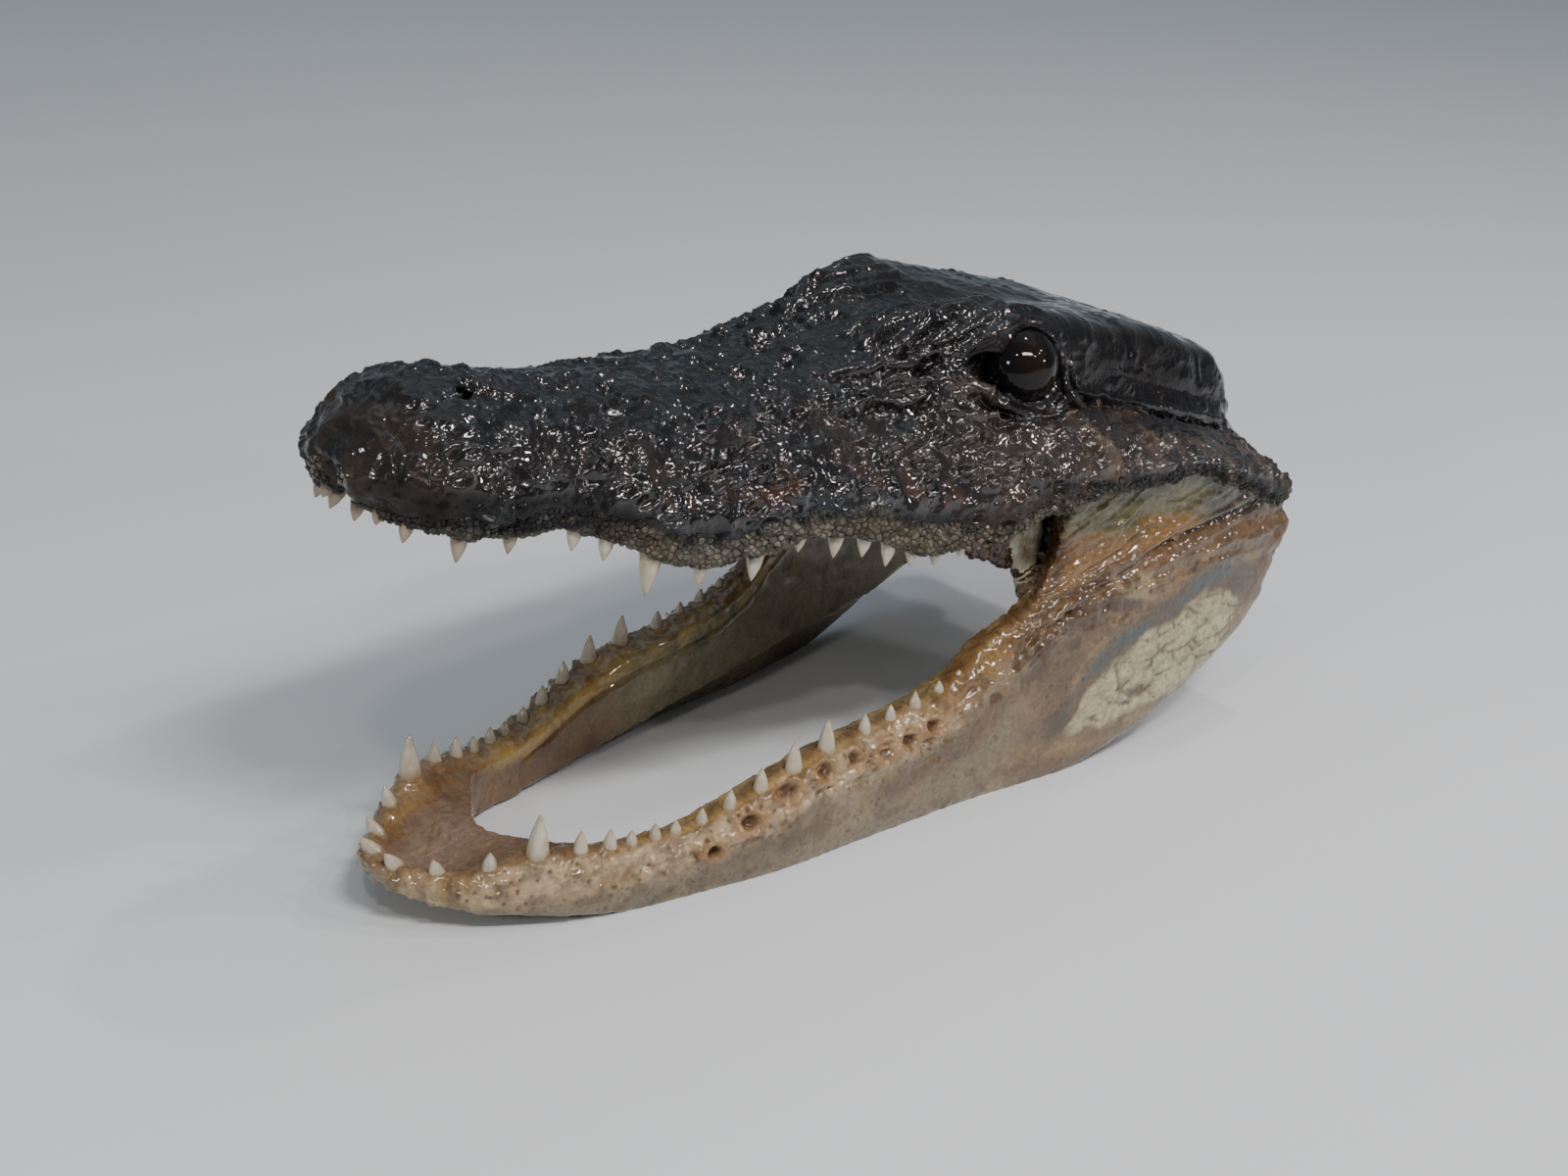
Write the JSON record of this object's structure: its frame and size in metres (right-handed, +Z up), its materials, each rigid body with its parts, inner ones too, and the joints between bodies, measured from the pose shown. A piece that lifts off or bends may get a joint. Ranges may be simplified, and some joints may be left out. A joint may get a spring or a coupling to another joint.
{
  "type": "taxidermy alligator head",
  "caption": "Life-size dried and lacquered alligator head with its skin on, glass eyes and jaws held open, resting on its lower jaw; a still display piece.",
  "frame": {"origin": "middle of the bounding box, on the floor", "axes": "+X towards the snout, +Y to the animal's left, +Z up"},
  "size_m": [0.2412, 0.1054, 0.1132],
  "materials": {
    "dark_hide": "dried scaly hide under glossy clear lacquer",
    "pale_hide": "dried scaly hide, speckled, under glossy clear lacquer",
    "dried_membrane": "thin dried skin, fibrous, semi-gloss",
    "eye_glass": "polished black-brown glass eye",
    "tooth": "smooth ivory enamel with darker roots and tips",
    "bone": "dried bone, smooth and slightly waxy"
  },
  "bodies": {
    "root": {"snout": "dark_hide", "cranium": "dark_hide", "brow_left": "dark_hide", "brow_right": "dark_hide", "eye_left": "eye_glass", "eye_right": "eye_glass", "occipital_condyle": "bone", "pterygoid_left": "bone", "pterygoid_right": "bone", "cheek_left": "dried_membrane", "cheek_right": "dried_membrane", "chin": "pale_hide", "jaw_left": "pale_hide", "jaw_right": "pale_hide", "jaw_angle_left": "pale_hide", "jaw_angle_right": "pale_hide"}
  },
  "joints": []
}
